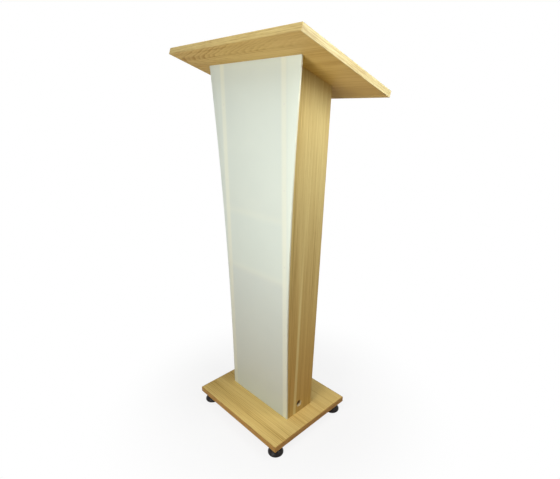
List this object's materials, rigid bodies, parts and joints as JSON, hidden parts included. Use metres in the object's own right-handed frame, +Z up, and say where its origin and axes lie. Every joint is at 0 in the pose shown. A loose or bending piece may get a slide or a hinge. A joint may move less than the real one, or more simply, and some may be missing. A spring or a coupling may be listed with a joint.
{
  "type": "presentation lectern",
  "caption": "Free-standing oak-faced lectern with a sloping top board, an opal front sheet with curved sides, inner shelves open to the speaker and levelling feet.",
  "frame": {"origin": "on the floor, under the centre of the lectern's outer box", "axes": "+Z up, the audience at -Y and the speaker at +Y, +X to the right as the audience sees it"},
  "size_m": [0.518, 0.3644, 1.1483],
  "materials": {
    "oak_board": "satin oak-pattern melamine on chipboard",
    "oak_edging": "satin pale oak edge strip",
    "opal_sheet": "satin opal cast acrylic",
    "screw_steel": "steel with baked white lacquer",
    "cam_zinc": "die-cast zinc, as cast",
    "bolt_steel": "zinc-plated steel",
    "beech_dowel": "fluted beech",
    "insert_zinc": "die-cast zinc",
    "foot_plastic": "moulded black nylon",
    "stud_steel": "zinc-plated steel"
  },
  "bodies": {
    "lectern": {"base_board": "oak_board", "left_side_panel": "oak_board", "right_side_panel": "oak_board", "lower_shelf": "oak_board", "upper_shelf": "oak_board", "top_board": "oak_board", "base_front_edging": "oak_edging", "base_rear_edging": "oak_edging", "base_left_edging": "oak_edging", "base_right_edging": "oak_edging", "left_panel_front_edging": "oak_edging", "left_panel_rear_edging": "oak_edging", "right_panel_front_edging": "oak_edging", "right_panel_rear_edging": "oak_edging", "lower_shelf_edging": "oak_edging", "upper_shelf_edging": "oak_edging", "top_front_edging": "oak_edging", "top_rear_edging": "oak_edging", "top_left_edging": "oak_edging", "top_right_edging": "oak_edging", "front_sheet": "opal_sheet", "front_sheet_screws": "screw_steel", "panel_cam_locks": "cam_zinc", "shelf_cam_locks": "cam_zinc", "panel_cam_bolts": "bolt_steel", "shelf_cam_bolts": "bolt_steel", "panel_dowels": "beech_dowel", "shelf_dowels": "beech_dowel", "foot_inserts": "insert_zinc"},
    "front_left_pad": {"front_left_foot_pad": "foot_plastic"},
    "front_left_stud": {"front_left_foot_stud": "stud_steel"},
    "front_right_pad": {"front_right_foot_pad": "foot_plastic"},
    "front_right_stud": {"front_right_foot_stud": "stud_steel"},
    "rear_left_pad": {"rear_left_foot_pad": "foot_plastic"},
    "rear_left_stud": {"rear_left_foot_stud": "stud_steel"},
    "rear_right_pad": {"rear_right_foot_pad": "foot_plastic"},
    "rear_right_stud": {"rear_right_foot_stud": "stud_steel"}
  },
  "joints": [
    {"name": "front_left_pad_slide", "type": "slide", "parent": "lectern", "child": "front_left_pad", "axis": [0, 0, -1], "range_m": [0, 0.009]},
    {"name": "front_left_stud_turn", "type": "hinge", "parent": "front_left_pad", "child": "front_left_stud", "pos_m": [-0.164, -0.1562, 0.01], "axis": [0, 0, -1], "range_deg": [0, 2160]},
    {"name": "front_right_pad_slide", "type": "slide", "parent": "lectern", "child": "front_right_pad", "axis": [0, 0, -1], "range_m": [0, 0.009]},
    {"name": "front_right_stud_turn", "type": "hinge", "parent": "front_right_pad", "child": "front_right_stud", "pos_m": [0.164, -0.1562, 0.01], "axis": [0, 0, -1], "range_deg": [0, 2160]},
    {"name": "rear_left_pad_slide", "type": "slide", "parent": "lectern", "child": "rear_left_pad", "axis": [0, 0, -1], "range_m": [0, 0.009]},
    {"name": "rear_left_stud_turn", "type": "hinge", "parent": "rear_left_pad", "child": "rear_left_stud", "pos_m": [-0.164, 0.1078, 0.01], "axis": [0, 0, -1], "range_deg": [0, 2160]},
    {"name": "rear_right_pad_slide", "type": "slide", "parent": "lectern", "child": "rear_right_pad", "axis": [0, 0, -1], "range_m": [0, 0.009]},
    {"name": "rear_right_stud_turn", "type": "hinge", "parent": "rear_right_pad", "child": "rear_right_stud", "pos_m": [0.164, 0.1078, 0.01], "axis": [0, 0, -1], "range_deg": [0, 2160]}
  ],
  "couplings": [
    {"joint": "front_left_stud_turn", "follows": "front_left_pad_slide", "rad_per_m": 4188.8},
    {"joint": "front_right_stud_turn", "follows": "front_right_pad_slide", "rad_per_m": 4188.8},
    {"joint": "rear_left_stud_turn", "follows": "rear_left_pad_slide", "rad_per_m": 4188.8},
    {"joint": "rear_right_stud_turn", "follows": "rear_right_pad_slide", "rad_per_m": 4188.8}
  ]
}
